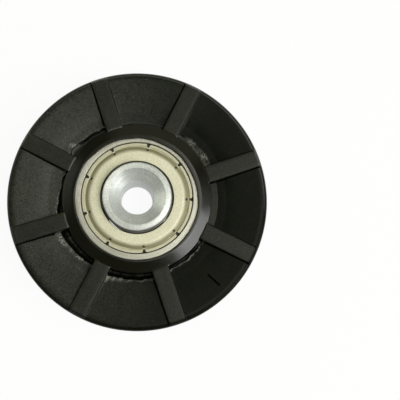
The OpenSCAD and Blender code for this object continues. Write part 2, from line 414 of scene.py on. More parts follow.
@dataclass(frozen=True)
class MouldedNylon:
    """Black nylon as it leaves the mould: scuffed ribs, rough dished faces, and a glossy hub and groove.

    Attributes:
        hub_r: radius of the hub's edge.
        dish_r: radius where the dished face begins.
        dish_z: height of the dished face at its inner edge.
        dish_slope: rise of the dished face for each millimetre outwards.
        rim_z: height of the rims' flat faces.
        rim_r: radius where the rims' corners begin.
        deep: colour of the glossy hub, the groove and the channel.
        dish: colour of the rough dished faces.
        dust: lighter colour of the dust-laden grain on the dished faces, laid thicker towards one side,
            where it also stands for painted light.
        scuff: colour of the ribs' scuffed tops.
        torn: colour of the whitened torn edges and of lint.
        shade_paint: colour of the painted shade in the nick, on the sunken floor of the channel and along
            one side of the ribs' feet.
        dust_light_angle: direction in which the dust lies thickest, which also paints that side of the
            dished faces lighter as if lit.
        sheen_angle: direction in which the rims get a painted sheen.
        clouds: fineness of the broad mottling.
        specks: fineness of the dusty grain.
        lint: fineness of the lint.
        grain: fineness of the mould's grain.
        swell: fineness of the coarser grain.
        grain_h: height of the mould's grain in millimetres.
        shine: strength of the smooth plastic's reflections.
        dish_dull: how much weaker they are on the dished faces and rims.
        dim_side_dull: how much weaker still on the dished faces away from the side with the dust and the
            painted light.
        scuff_dull: how much weaker on the ribs' tops.
        rim_dull: how much weaker still on the rims.
        rim_sheen: how much stronger the rims' reflections are painted on that side.
        rough: roughness of the smooth plastic.
        dish_rough: roughness of the dished faces.
        groove_smooth: how much less rough the groove is.
        hub_smooth: how much less rough the hub is.
        rim_smooth: how much less rough the rims are.
        torn_rough: how much rougher torn plastic is.
        nick: ends of the nick in the front face, as x, y, x, y.
        nick_w: half the nick's width.
        nick_depth: depth of the nick.
    """

    hub_r: float
    dish_r: float
    dish_z: float
    dish_slope: float
    rim_z: float
    rim_r: float

    deep: Colour = (0.0045, 0.0046, 0.0018)
    dish: Colour = (0.0018, 0.0026, 0.0006)
    dust: Colour = (0.0430, 0.0460, 0.0350)
    scuff: Colour = (0.0240, 0.0270, 0.0205)
    torn: Colour = (0.24, 0.25, 0.22)
    shade_paint: Colour = (0.0015, 0.0016, 0.0010)
    dust_light_angle: float = math.radians(168.0)
    sheen_angle: float = math.radians(75.0)

    clouds: float = 170.0
    specks: float = 3600.0
    lint: float = 1900.0
    grain: float = 4200.0
    swell: float = 1100.0
    grain_h: float = 0.022

    shine: float = 0.42
    dish_dull: float = 0.19
    dim_side_dull: float = 0.12
    scuff_dull: float = 0.28
    rim_dull: float = 0.1
    rim_sheen: float = 0.9
    rough: float = 0.38
    dish_rough: float = 0.5
    groove_smooth: float = 0.20
    hub_smooth: float = 0.18
    rim_smooth: float = 0.16
    torn_rough: float = 0.2

    nick: tuple[float, float, float, float] = (13.4, -14.7, 15.3, -16.5)
    nick_w: float = 0.2
    nick_depth: float = 0.15

    def material(self) -> bpy.types.Material:
        """Builds the finish.

        Returns:
            The node material.
        """
        n = Nodes("wheel_nylon")
        radius, angle, height = n.polar()
        depth = height.math("ABSOLUTE")
        over = depth - ((radius - self.dish_r) * self.dish_slope + self.dish_z)
        on_dish = over.spread(0.12, 0.22, 1.0, 0.0) * over.spread(-0.35, -0.15)
        on_dish = on_dish * radius.spread(self.dish_r - 0.3, self.dish_r)
        on_top = over.spread(0.14, 0.24) * radius.spread(self.hub_r, self.hub_r + 0.1)
        on_hub = radius.spread(self.hub_r - 0.05, self.hub_r + 0.1, 1.0, 0.0)
        on_rim = radius.spread(self.rim_r - 0.1, self.rim_r + 0.1)
        in_groove = depth.spread(self.rim_z - 1.3, self.rim_z - 0.6, 1.0, 0.0)
        in_groove = in_groove * radius.spread(self.dish_r + 1.5, self.dish_r + 2.0)

        cloud = n.noise(self.clouds, 4.0, 0.6)
        streak = n.noise(1.0, 3.0, 0.6, n.vector(radius * 0.5, angle * 22.0, depth))
        speck = n.noise(self.specks, 3.0, 0.7)
        tone = cloud * 0.15 + streak * 0.15 + speck * 0.7
        # The dust is laid thicker towards one side: partly real dust, partly painted light on the side of
        # the dished faces that the light falls on.
        dust_light_share = (angle - self.dust_light_angle).math("COSINE").spread(-0.5, 0.9, 0.10, 1.0)
        dust_light_share = dust_light_share * radius.spread(self.rim_r - 1.2, self.rim_r, 1.0, 0.6)
        lint = n.noise(self.lint, 1.0).spread(0.74, 0.80, 0.0, 0.45) * (on_dish * dust_light_share)
        nick = n.segment(self.nick).spread(self.nick_w * 0.6, self.nick_w, 1.0, 0.0)
        # Painted shade: the nick, the sunken channel floor and one side of the ribs' feet are darkened and
        # lose their shine, standing for the shade that falls there.
        painted_shade = (nick * height.spread(0.0, 0.1)).most(n.mark().spread(-0.8, -0.1, 1.0, 0.0))
        torn = n.mark().most(0.0) * speck.spread(0.40, 0.58)

        skin = n.mix(on_dish, self.deep, self.dish)
        skin = n.mix(on_top * tone.spread(0.40, 0.60, 0.35, 1.0), skin, self.scuff)
        skin = n.mix(tone.spread(0.38, 0.62) * on_dish * dust_light_share, skin, self.dust)
        skin = n.mix(lint, skin, self.torn)
        skin = n.mix(painted_shade, skin, self.shade_paint)

        # The rims' reflections are painted stronger towards one side: a painted sheen, standing for light
        # that falls there.
        sheen_side = (angle - self.sheen_angle).math("COSINE").spread(0.1, 0.8, 0.0, self.rim_sheen)
        shine = self.shine - on_dish.most(on_rim) * self.dish_dull
        # The dished faces reflect less on the side away from the painted light.
        shine = shine - on_dish * (1.0 - dust_light_share) * self.dim_side_dull - on_top * self.scuff_dull
        shine = shine - on_rim * self.rim_dull + on_rim * sheen_side
        rough = on_dish.spread(0.0, 1.0, self.rough, self.dish_rough) - in_groove * self.groove_smooth
        rough = rough - on_hub * self.hub_smooth - on_rim * self.rim_smooth
        rough = rough + torn * self.torn_rough + cloud.spread(0.3, 0.7, -0.04, 0.05)

        calm = 1.0 - on_hub.most(in_groove) * 0.75
        relief = n.bump(n.noise(self.grain, 2.0) * calm, self.grain_h, 0.6)
        relief = n.bump(n.noise(self.swell, 3.0) * calm, self.grain_h * 2.2, 0.55, relief)
        return n.finish({
            "Base Color": n.mix(torn, skin, self.torn),
            "Specular IOR Level": shine * (1.0 - painted_shade),
            "Roughness": rough,
            "Normal": n.bump(1.0 - painted_shade, self.nick_depth, 1.0, relief),
        })


@dataclass(frozen=True)
class TurnedSteel:
    """Steel with the circular marks of turning or grinding.

    Attributes:
        name: name of the material.
        colour: base colour.
        shade: darker colour of the finest marks.
        roughness: roughness across the marks.
        marks_per_mm: how close the marks are.
        mark_depth: depth of the marks in millimetres.
        anisotropy: how far highlights stretch across the marks.
        metallic: share of the bare metal; the rest is its fine matt haze.
        brush: how close the faint streaks across the marks are, per radian.
        painted_shade_r: radius past which the surface is painted dark as shade, in millimetres; on the bush
            it darkens the head's edge beside the gap.
        painted_shade: colour of that painted shade.
        clouds: fineness of the faint mottling.
    """

    name: str
    colour: Colour
    shade: Colour
    roughness: float = 0.34
    marks_per_mm: float = 5.0
    mark_depth: float = 0.004
    anisotropy: float = 0.7
    metallic: float = 0.65
    brush: float = 20.0
    painted_shade_r: float = 100.0
    painted_shade: Colour = (0.02, 0.02, 0.015)
    clouds: float = 350.0

    def material(self) -> bpy.types.Material:
        """Builds the finish.

        Returns:
            The node material.
        """
        n = Nodes(self.name)
        radius, angle, height = n.polar()
        across = radius + height
        marks = n.noise(1.0, 3.0, 0.65, n.vector(across * self.marks_per_mm, angle * 0.6))
        brush = n.noise(1.0, 2.0, 0.6, n.vector(across * 0.7, angle * self.brush))
        cloud = n.noise(self.clouds, 3.0, 0.6)
        tone = marks * 0.5 + cloud * 0.2 + brush * 0.3
        bare = n.mix(tone.spread(0.38, 0.62), self.shade, self.colour)
        # Painted shade outside a radius: on the bush it darkens the head's edge, standing for the shade in
        # the gap beside it.
        painted_shade_share = radius.spread(self.painted_shade_r - 0.06, self.painted_shade_r + 0.04)
        return n.finish({
            "Base Color": n.mix(painted_shade_share, bare, self.painted_shade),
            "Metallic": self.metallic,
            "Roughness": cloud.spread(0.25, 0.75, -0.05, 0.06) + self.roughness,
            "Anisotropic": self.anisotropy,
            "Anisotropic Rotation": 0.25,
            "Tangent": n.made("ShaderNodeTangent", 0, {}, direction_type="RADIAL", axis="Z"),
            "Normal": n.bump(marks, self.mark_depth, 0.8),
        })


@dataclass(frozen=True)
class PlatedSheet:
    """Zinc plated sheet with a straw tint, darker where it was pressed into the step.

    Attributes:
        colour: colour of the flat.
        speck: colour of the fine specks.
        step_colour: colour of the pressed step.
        hollow_shade: colour of the painted shade in the slits, the punch marks and the groove, and at the
            bore.
        step_from: radius where the step begins.
        step_to: radius where the rolled edge begins.
        step_dark: share of its colour that the step takes.
        crest_dark: share of that which the rolled edge keeps.
        metallic: share of the bare metal.
        roughness: roughness of the flat.
        specks: fineness of the specks.
        clouds: fineness of the faint mottling.
        grain_h: height of the specks in millimetres.
    """

    colour: Colour = (0.80, 0.79, 0.60)
    speck: Colour = (0.62, 0.60, 0.44)
    step_colour: Colour = (0.17, 0.155, 0.07)
    hollow_shade: Colour = (0.018, 0.016, 0.010)
    step_from: float = 9.1
    step_to: float = 10.0
    step_dark: float = 0.88
    crest_dark: float = 0.38
    metallic: float = 0.25
    roughness: float = 0.56
    specks: float = 3600.0
    clouds: float = 260.0
    grain_h: float = 0.006

    def material(self) -> bpy.types.Material:
        """Builds the finish.

        Returns:
            The node material.
        """
        n = Nodes("shield_plate")
        radius, angle, _ = n.polar()
        speckle = n.noise(self.specks, 3.0, 0.7)
        flat = n.mix(speckle.spread(0.36, 0.62, 1.0, 0.0), self.colour, self.speck)
        flat = n.mix(n.noise(self.clouds).spread(0.35, 0.7, 0.0, 0.35), flat, self.speck)
        here = radius + n.noise(1.0, 2.0, 0.5, n.vector(angle * 1.3)).spread(0.3, 0.7, -0.12, 0.12)
        rise = here.spread(self.step_from - 0.2, self.step_from + 0.4)
        fall = here.spread(self.step_to - 0.12, self.step_to + 0.05, 1.0, self.crest_dark)
        # The step's darker colour is left off the burrs beside the slits, so they show lighter.
        off_burr = n.mark().spread(-0.5, -0.05)
        pressed = n.mix(rise * fall * self.step_dark * off_burr, flat, self.step_colour)
        return n.finish({
            # Painted shade in the slits, the punch marks and the groove and at the bore, standing for the
            # shade in those hollows and gaps.
            "Base Color": n.mix(n.mark().spread(0.15, 0.8), pressed, self.hollow_shade),
            "Metallic": self.metallic,
            "Roughness": speckle.spread(0.3, 0.7, self.roughness - 0.06, self.roughness + 0.08),
            "Normal": n.bump(speckle, self.grain_h, 0.6),
        })


@dataclass(frozen=True)
class PolishedSteel:
    """Polished bearing steel with a faint film of grease.

    Attributes:
        name: name of the material.
        colour: base colour.
        roughness: roughness under the film.
        film_rough: how much rougher the thick film is.
        film_dark: brightness of the steel under the thick film.
        film_rate: fineness of the film's patches.
        film_h: height of the film in millimetres.
    """

    name: str
    colour: Colour = (0.62, 0.62, 0.61)
    roughness: float = 0.14
    film_rough: float = 0.14
    film_dark: float = 0.82
    film_rate: float = 700.0
    film_h: float = 0.002

    def material(self) -> bpy.types.Material:
        """Builds the finish.

        Returns:
            The node material.
        """
        n = Nodes(self.name)
        film = n.noise(self.film_rate)
        dark = tuple(self.film_dark * part for part in self.colour)
        return n.finish({
            "Base Color": n.mix(film.spread(0.3, 0.7), self.colour, dark),
            "Metallic": 1.0,
            "Roughness": film.spread(0.3, 0.7, self.roughness, self.roughness + self.film_rough),
            "Normal": n.bump(film, self.film_h, 0.5),
        })


def dress(piece: bpy.types.Object, material: bpy.types.Material) -> None:
    """Gives a piece one material in all its slots."""
    piece.data.materials.clear()
    piece.data.materials.append(material)


def seat(piece: bpy.types.Object, finish: bpy.types.Material, body: str, slot: str, *nodes: str) -> None:
    """Dresses a made piece and puts it in the place of its solids.

    Args:
        piece: the mesh object.
        finish: its material.
        body: the body that it moves with.
        slot: not used.
        nodes: the solids that it stands for.
    """
    dress(piece, finish)
    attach(piece, body)
    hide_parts(*nodes)
    LOG.info("%s: %d faces", piece.name, len(piece.data.polygons))


# ---------------------------------------------------------------------------------------------
# The moulded wheel
# ---------------------------------------------------------------------------------------------


@dataclass(frozen=True)
class ChannelEdge:
    """How the channel at the hub's foot ends at one direction.

    Attributes:
        angle: direction in degrees.
        offset: how far outside its plain radius the dished face begins.
        fill: how far moulded waste lifts the channel's floor, or below 0 how far the floor sinks.
        burr: height of the thin flash on the dished face's edge.
        torn: how whitened the flash is, where 1 is fully white and more widens the band.
        width: width of the whitened band.
    """

    angle: float
    offset: float
    fill: float
    burr: float = 0.0
    torn: float = 0.0
    width: float = 0.3


@dataclass
class MouldedWheel:
    """The one-piece nylon wheel: groove, two dished and ribbed faces, and hub.

    Attributes:
        wheel_r: radius over the rims.
        ring_r: radius of the bearing's seat.
        front_face_z: height of the bearing's front face.
        rear_face_z: height of the bearing's rear face.
        rim_w: width over the rims' flat faces.
        rib_count: ribs on each face.
        rib_w: width of a rib's top.
        rib_h: height of a rib's outer end above the rims' flat faces.
        rib_edge: rounding of a rib's top edges.
        rib_draft: how far a rib's foot stands out beside its top.
        rib_end_gap: distance from a rib's outer end to the rims' radius.
        rib_end_run: length of the slope at a rib's outer end.
        rib_overlap: how far a rib runs in over the hub's edge.
        rib_rise: how far a rib's inner end stands over the hub's edge.
        rib_margin: width of the fine columns beside a rib's foot.
        front_rib_angle: direction of the front face's first rib, in degrees.
        rear_rib_turn: how far the rear ribs are turned from the front ones, in degrees.
        shade_paint_angle: direction on whose side of the ribs' feet a painted shadow lies, as if cast by
            light from the opposite side.
        rim_corner_r: rounding of the rims' outer corners.
        rim_band_w: width of the flat band inside that corner.
        dish_depth: how far a face sinks from the rim to the hub.
        groove_depth: depth of the groove.
        groove_root_r: radius of the groove's rounded root.
        groove_wall_angle: angle between a wall of the groove and the middle plane, in degrees.
        groove_edge_r: rounding where the groove meets the rim.
        collar_wall: wall of the hub round the bearing.
        lip_rise: how far the hub's lip stands over the bearing's front face.
        lip_cover: how far the lip reaches in over the bearing's edge.
        lip_flat_w: width of the flat on the lip.
        collar_fall: fall of the hub's top from the lip to its edge.
        hub_side_run: run of the hub's sloping side.
        moat_w: width of the channel round the hub.
        moat_side_run: run of the channel's outer side.
        moat_depth: depth of the channel below the dished face.
        shoulder_w: width of the shoulder behind the bearing.
        ring_chamfer: bevel on the bearing's edge, under the lip.
        row_step: greatest distance between two rows of points on a face.
        wall_step: distance between two rows of points on a wall of the groove.
        fan_r: radius inside which the columns beside the ribs stand closer.
        gap_columns: columns of points between two ribs.
        waves_h: height of the dished faces' faint waves.
        waste_lumps: how lumpy torn moulding waste is.
        rear_turn: direction on the front face that matches 0 on the rear face, in degrees.
        channel_edges: state of the channel's edge in order round the front face.
        flash_reach: how far thin flash reaches in from the lip, or below 0 how far the lip is cut back.
        flash_changes: where each change of that reach begins and ends, in degrees, and its amount.
    """

    wheel_r: float
    ring_r: float
    front_face_z: float
    rear_face_z: float

    rim_w: float = 8.7
    rib_count: int = 8
    rib_w: float = 3.2
    rib_h: float = 0.3
    rib_edge: float = 0.18
    rib_draft: float = 0.12
    rib_end_gap: float = 0.6
    rib_end_run: float = 0.35
    rib_overlap: float = 0.25
    rib_rise: float = 0.15
    rib_margin: float = 0.2
    front_rib_angle: float = 17.9
    rear_rib_turn: float = 12.4
    shade_paint_angle: float = math.radians(225.0)

    rim_corner_r: float = 0.9
    rim_band_w: float = 0.5
    dish_depth: float = 1.9
    groove_depth: float = 5.65
    groove_root_r: float = 1.85
    groove_wall_angle: float = 14.3
    groove_edge_r: float = 0.25

    collar_wall: float = 2.35
    lip_rise: float = 0.35
    lip_cover: float = 0.2
    lip_flat_w: float = 0.3
    collar_fall: float = 0.7
    hub_side_run: float = 0.35
    moat_w: float = 1.05
    moat_side_run: float = 0.3
    moat_depth: float = 0.55
    shoulder_w: float = 1.0
    ring_chamfer: float = 0.35

    row_step: float = 0.42
    wall_step: float = 0.8
    fan_r: float = 11.0
    gap_columns: int = 34
    waves_h: float = 0.018
    waste_lumps: float = 0.2
    rear_turn: float = 130.0
    channel_edges: tuple[ChannelEdge, ...] = (
        ChannelEdge(0, 0.45, 1.35), ChannelEdge(11, 0.45, 1.1),
        ChannelEdge(24, 0.1, 0.55, 0.0, 0.7, 0.28), ChannelEdge(30, 0.25, 0.57, 0.01, 1.2, 0.32),
        ChannelEdge(38, 0.3, 0.58, 0.01, 1.2, 0.32), ChannelEdge(42, 0.2, 0.58, 0.0, 0.5, 0.3),
        ChannelEdge(47, 0.1, 0.58, 0.0, 1.0, 0.32), ChannelEdge(52, 0.1, 0.55, 0.0, 0.1, 0.3),
        ChannelEdge(69, -0.4, 0.5), ChannelEdge(101, -0.4, 0.5),
        ChannelEdge(114, 0.1, 0.05, 0.03, 0.3, 0.3), ChannelEdge(127, 0.35, 0.0, 0.06, 0.4, 0.4),
        ChannelEdge(136, 0.5, 0.0, 0.06, 0.5, 0.4), ChannelEdge(142, 0.9, 0.1, 0.08, 2.0, 0.8),
        ChannelEdge(146, 0.5, 0.1, 0.05, 0.7, 0.4), ChannelEdge(159, -0.35, -0.2, 0.10, 0.9, 0.2),
        ChannelEdge(175, -0.25, -0.3, 0.10, 0.9, 0.2), ChannelEdge(188, 0.3, -0.3, 0.08, 1.2, 0.4),
        ChannelEdge(204, 0.9, -0.4, 0.10, 2.1, 0.7), ChannelEdge(214, 0.7, -0.4, 0.09, 2.1, 0.6),
        ChannelEdge(236, 0.2, -0.4, 0.04, 0.4, 0.3), ChannelEdge(249, 0.6, -0.4, 0.12, 2.8, 0.7),
        ChannelEdge(257, 0.4, -0.4, 0.10, 2.0, 0.5), ChannelEdge(268, 0.4, -0.4, 0.06, 0.4, 0.25),
        ChannelEdge(281, 0.3, -0.4, 0.05, 0.5, 0.25), ChannelEdge(294, -0.2, -0.3, 0.06, 1.2, 0.25),
        ChannelEdge(312, -0.25, -0.3, 0.08, 1.6, 0.25), ChannelEdge(326, -0.1, 0.1, 0.04, 0.8, 0.25),
        ChannelEdge(339, 0.45, 1.65), ChannelEdge(360, 0.45, 1.35),
    )
    flash_reach: float = -0.2
    flash_changes: tuple[tuple[float, float, float], ...] = (
        (-58.0, -35.0, 0.23), (-25.0, 0.0, 0.14), (0.0, 25.0, 0.25), (76.0, 90.0, -0.10),
        (95.0, 115.0, -0.08), (125.0, 150.0, -0.30), (160.0, 180.0, -0.14),
    )

    @classmethod
    def from_frame(cls) -> MouldedWheel:
        """Reads the wheel's driving sizes from the frame.

        Returns:
            The wheel.
        """
        _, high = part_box("wheel_body")
        ring_low, ring_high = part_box("bearing_outer_ring")
        return cls(
            wheel_r=high.x / MM,
            ring_r=ring_high.x / MM,
            front_face_z=ring_high.z / MM,
            rear_face_z=ring_low.z / MM,
        )

    @property
    def rim_z(self) -> float:
        """Height of the rims' flat faces."""
        return self.rim_w / 2

    @property
    def rim_r(self) -> float:
        """Radius where the rims' corners begin."""
        return self.wheel_r - self.rim_corner_r

    @property
    def hub_r(self) -> float:
        """Radius of the hub's edge."""
        return self.ring_r + self.collar_wall

    @property
    def moat_r(self) -> float:
        """Plain radius of the dished face's inner edge."""
        return self.hub_r + self.moat_w

    @property
    def dish_z(self) -> float:
        """Height of the dished face at its inner edge."""
        return self.rim_z - self.dish_depth

    @property
    def dish_slope(self) -> float:
        """Rise of the dished face for each millimetre outwards."""
        return self.dish_depth / (self.rim_r - self.rim_band_w - self.moat_r)

    @property
    def lip_z(self) -> float:
        """Height of the hub's lip."""
        return self.front_face_z + self.lip_rise

    @property
    def hub_edge_z(self) -> float:
        """Height of the hub's edge."""
        return self.lip_z - self.collar_fall

    @property
    def moat_z(self) -> float:
        """Height of the channel's plain floor."""
        return self.dish_z - self.moat_depth

    @property
    def rib_from(self) -> float:
        """Radius of a rib's inner end."""
        return self.hub_r - self.rib_overlap

    @property
    def rib_to(self) -> float:
        """Radius where a rib's top ends."""
        return self.wheel_r - self.rib_end_gap

    @property
    def rib_foot(self) -> float:
        """Half the width of a rib's foot."""
        return self.rib_w / 2 + self.rib_draft

    def finish(self) -> MouldedNylon:
        """The wheel's finish, with the places that it depends on."""
        return MouldedNylon(
            hub_r=self.hub_r,
            dish_r=self.moat_r,
            dish_z=self.dish_z,
            dish_slope=self.dish_slope,
            rim_z=self.rim_z,
            rim_r=self.rim_r,
        )

    def channel_edge(self, degrees: float, side: Side) -> ChannelEdge:
        """The channel's state at one direction, worn ragged.

        Args:
            degrees: direction in degrees.
            side: which face.

        Returns:
            The state between its two neighbours in the list.
        """
        turn = (degrees if side is Side.FRONT else self.rear_turn - degrees) % 360.0
        for here, after in zip(self.channel_edges, self.channel_edges[1:]):
            if turn <= after.angle:
                break
        t = (turn - here.angle) / (after.angle - here.angle)
        radians = math.radians(turn)
        ragged = between(max(here.torn, after.torn), 0.0, 0.3)
        rag = ragged * (0.14 * wobble(radians, 12.0, 3.0) + 0.06 * wobble(radians, 30.0, 5.0))
        flake = between(wobble(radians, 18.0, 9.0), -0.5, 0.35)

        def mixed(first: float, second: float) -> float:
            """A value part way between its neighbours."""
            return first + (second - first) * t

        return ChannelEdge(
            angle=degrees,
            offset=mixed(here.offset, after.offset) + rag,
            fill=mixed(here.fill, after.fill),
            burr=mixed(here.burr, after.burr) * 1.5 * flake,
            torn=mixed(here.torn, after.torn) * (0.25 + 0.75 * flake),
            width=mixed(here.width, after.width),
        )

    def wall_height(self, r: float) -> float:
        """Height of the groove's front wall.

        Args:
            r: distance from the axis.

        Returns:
            The height over the middle plane.
        """
        slope = math.radians(self.groove_wall_angle)
        start_r = self.wheel_r - self.groove_depth + self.groove_root_r * (1.0 - math.sin(slope))
        return self.groove_root_r * math.cos(slope) + (r - start_r) * math.tan(slope)

    def face_profile(self) -> Profile:
        """Outline of one face, as seen from the middle plane.

        Returns:
            The points from the hub's lip to the groove's edge.
        """
        lip_r = self.ring_r - self.lip_cover
        inner = rounded([
            (lip_r, self.front_face_z - self.ring_chamfer + self.lip_cover, 0.0),
            (lip_r, self.lip_z, 0.12),
            (self.ring_r + self.lip_flat_w, self.lip_z, 0.3),
            (self.hub_r, self.hub_edge_z, 0.12),
            (self.hub_r + self.hub_side_run, self.moat_z, 0.2),
            (self.moat_r - self.moat_side_run, self.moat_z, 0.15),
            (self.moat_r, self.dish_z, 0.12),
            (self.rim_r - self.rim_band_w, self.rim_z, 1.0),
            (self.rim_r, self.rim_z, 0.0),
        ])
        corner = arc((self.rim_r, self.rim_z - self.rim_corner_r), self.rim_corner_r, 90, 0, 10)
        edge_r = self.wheel_r - self.groove_edge_r
        slope = math.radians(self.groove_wall_angle)
        edge_z = self.wall_height(edge_r) + self.groove_edge_r / math.cos(slope)
        edge = arc((edge_r, edge_z), self.groove_edge_r, 0, self.groove_wall_angle - 90, 6)
        return inner[:-1] + corner + edge

    def face_rows(self) -> Profile:
        """Outline of one face with the points added that the ribs' ends and the torn edge need.

        Returns:
            The points from the hub's lip to the groove's edge.
        """
        rows = subdivided(self.face_profile(), self.row_step)
        start, end, edge, run = self.rib_from, self.rib_to, self.rib_edge, self.rib_end_run
        stations = [start - 0.02, start, start + 0.3 * edge, start + edge]
        stations += [end - edge, end - 0.3 * edge, end, end + 0.5 * run, end + run]
        stations += [self.moat_r + 0.09 + 0.13 * k for k in range(12)]
        for r in stations:
            for i, ((r0, z0), (r1, z1)) in enumerate(zip(rows, rows[1:])):
                if r0 < r <= r1 and min(r - r0, r1 - r) > 0.004:
                    rows.insert(i + 1, (r, z0 + (z1 - z0) * (r - r0) / (r1 - r0)))
                    break
        return rows

    def groove_rows(self) -> Profile:
        """Outline of the groove.

        Returns:
            The points from its front edge over the root to its rear edge.
        """
        wall = [(r, self.wall_height(r)) for r in (self.wheel_r - self.wall_step * k for k in range(1, 5))]
        centre = (self.wheel_r - self.groove_depth + self.groove_root_r, 0.0)
        root = arc(centre, self.groove_root_r, 90 + self.groove_wall_angle, 270 - self.groove_wall_angle, 22)
        return wall + root + [(r, -z) for r, z in reversed(wall)]

    def bore_rows(self) -> Profile:
        """Outline of the bearing's seat, from the rear lip over the shoulder to the front lip."""
        shoulder_r = self.ring_r - self.shoulder_w
        return rounded([
            (self.ring_r, -self.lip_z, 0.0),
            (shoulder_r, -self.lip_z, 0.2),
            (shoulder_r, self.rear_face_z, 0.05),
            (self.ring_r, self.rear_face_z, 0.0),
            (self.ring_r, self.front_face_z - self.ring_chamfer, 0.0),
        ], steps=5)

    def columns(self) -> list[tuple[float, float]]:
        """Columns of one rib and the gap after it.

        Returns:
            For each column, its distance beside the rib's middle line, or nan in the gap, and for a
            gap column its share of the gap.
        """
        half, edge, foot = self.rib_w / 2, self.rib_edge, self.rib_foot
        beside = [0.0, half / 2, half - edge, half - 0.55 * edge, half - 0.2 * edge, half]
        beside += [foot, foot + 0.07, foot + self.rib_margin]
        columns = [(-value, math.nan) for value in reversed(beside[1:])]
        columns += [(value, math.nan) for value in beside]
        columns += [(math.nan, (k + 1) / (self.gap_columns + 1)) for k in range(self.gap_columns)]
        return columns

    def rib_height(self, r: float, beside: float) -> float:
        """Height of a rib's skin, or a very low value outside it.

        Args:
            r: distance from the axis.
            beside: distance from the rib's middle line.

        Returns:
            The height over the middle plane.
        """
        start, end, edge = self.rib_from, self.rib_to, self.rib_edge
        away = abs(beside)
        if away > self.rib_w / 2 + 1e-6 or r < start - 1e-6 or r > end + self.rib_end_run + 1e-6:
            return -math.inf
        start_z = self.hub_edge_z + self.rib_rise
        top = start_z + (self.rim_z + self.rib_h - start_z) * min(1.0, (r - start) / (end - start))
        drop = 0.0
        for inset in (self.rib_w / 2 - away, r - start, end - r):
            if inset < edge:
                t = 1.0 - max(inset, 0.0) / edge
                drop = max(drop, edge * (1.0 - math.sqrt(max(0.0, 1.0 - t * t))))
        if r > end:
            drop += (r - end) / self.rib_end_run * self.rib_h
        return top - drop

    def edge_shift(self, r: float, edge: ChannelEdge) -> float:
        """How far outwards a point near the channel's edge is moved."""
        rise = between(r, self.moat_r - self.moat_side_run - 0.08, self.moat_r - 0.1)
        return edge.offset * (rise * (1.0 - between(r, self.moat_r + 1.2, self.moat_r + 3.4)))

    def waves(self, r: float, angle: float, side: Side) -> float:
        """Height of the dished face's faint waves, which die out before the rim."""
        calm = 1.0 - between(r, self.wheel_r - 2.2, self.wheel_r - 0.9)
        return self.waves_h * calm * noise.noise(around(0.4 * r, angle, 7.0 * side.value))

    def floor_height(self, r: float, z: float, angle: float, edge: ChannelEdge) -> float:
        """Height of the channel's floor, with the moulding waste on it or the place where it sinks.

        Args:
            r: distance from the axis.
            z: plain height there.
            angle: direction in radians.
            edge: the channel's state there.

        Returns:
            The height.
        """
        lumps = self.waste_lumps * min(1.0, 2.0 * edge.torn) * noise.noise(around(2.6 * r, angle, 4.0))
        lift = edge.fill * (1.0 + lumps)
        return max(z + min(lift, 0.0) * between(self.dish_z - z, 0.1, 0.5), self.moat_z + lift)

    def tear(self, r: float, angle: float, edge: ChannelEdge) -> float:
        """How torn the surface is near the channel's edge, from 0 up.

        Args:
            r: distance from the axis.
            angle: direction in radians.
            edge: the channel's state there.

        Returns:
            The amount.
        """
        if r <= self.hub_r + 0.1 or (edge.fill <= 0.25 and r <= self.moat_r - 0.12):
            return 0.0
        spot = 0.6 + 0.5 * noise.noise(around(1.7 * r, angle, 2.0))
        return edge.torn * min(1.0, 1.4 * spot) * bell(r, self.moat_r + 0.02, edge.width)

    def lip_flash(self, r: float, z: float, angle: float) -> float:
        """How far a point of the front lip is moved in over the outer ring, or out where it is cut back.

        Args:
            r: plain radius of the point.
            z: plain height of the point.
            angle: direction in radians.

        Returns:
            The distance, below 0 where the lip is cut back.
        """
        turn = (math.degrees(angle) + 180.0) % 360.0 - 180.0
        reach = self.flash_reach
        for start, end, change in self.flash_changes:
            reach += change * between(turn, start, end)
        reach += 0.05 * wobble(math.radians(turn), 4.0, 1.5)
        reach += 0.03 * wobble(math.radians(turn), 14.0, 6.5)
        share = between(z, self.front_face_z - 0.2, self.front_face_z + 0.05)
        return reach * (share * (1.0 - between(r, self.ring_r - 0.05, self.ring_r + self.lip_flat_w)))

    def face_point(
        self, r: float, z: float, angle: float, beside: float, side: Side
    ) -> tuple[float, float, float]:
        """One point of a face with its rib, channel edge, flash and mould marks.

        Args:
            r: plain radius of the point.
            z: plain height of the point.
            angle: direction in radians.
            beside: distance from the nearest rib's middle line, or nan in a gap.
            side: which face.

        Returns:
            The radius, the height and how torn the surface is, or below 0 how dark it is painted as shade.
        """
        edge = self.channel_edge(math.degrees(angle), side)
        shift = self.edge_shift(r, edge)
        new_r, new_z, shade_paint = r + shift, z, 0.0
        if r > self.moat_r - 0.05:
            burr = edge.burr * bell(r, self.moat_r + 0.06, 0.15)
            new_z = z + shift * self.dish_slope + burr + self.waves(r, angle, side)
        elif r > self.hub_r + 0.02:
            new_z = self.floor_height(r, z, angle, edge)
            # Painted shade on the channel floor where no waste lifts it, most where it sinks, standing for
            # the hub's shadow there.
            shade_paint = (0.62 + 0.2 * wobble(angle, 7.0, 8.0)) * (1.0 - between(edge.fill, -0.2, 0.3))
        torn = self.tear(r, angle, edge)
        if not math.isnan(beside):
            away = abs(beside) - self.rib_foot
            crest, rib = self.rib_height(r, 0.0), self.rib_height(r, beside)
            if abs(away) < 1e-6 and rib < new_z and crest > new_z + 0.05:
                new_z += 0.05
            if rib > new_z:
                return r, rib, 0.0
            # A painted shadow darkens the ribs' feet on one side, as if cast by light from the other side.
            if away < 0.1 and crest > new_z + 0.1:
                turn = angle + math.copysign(math.pi / 2, beside) - self.shade_paint_angle
                shade_paint = max(shade_paint, between(math.cos(turn), -0.1, 0.5))
        if r < self.ring_r + self.lip_flat_w and side is Side.FRONT:
            new_r = r - self.lip_flash(r, z, angle)
        return new_r, new_z, min(torn, 1.0) if torn > 0.08 else -shade_paint

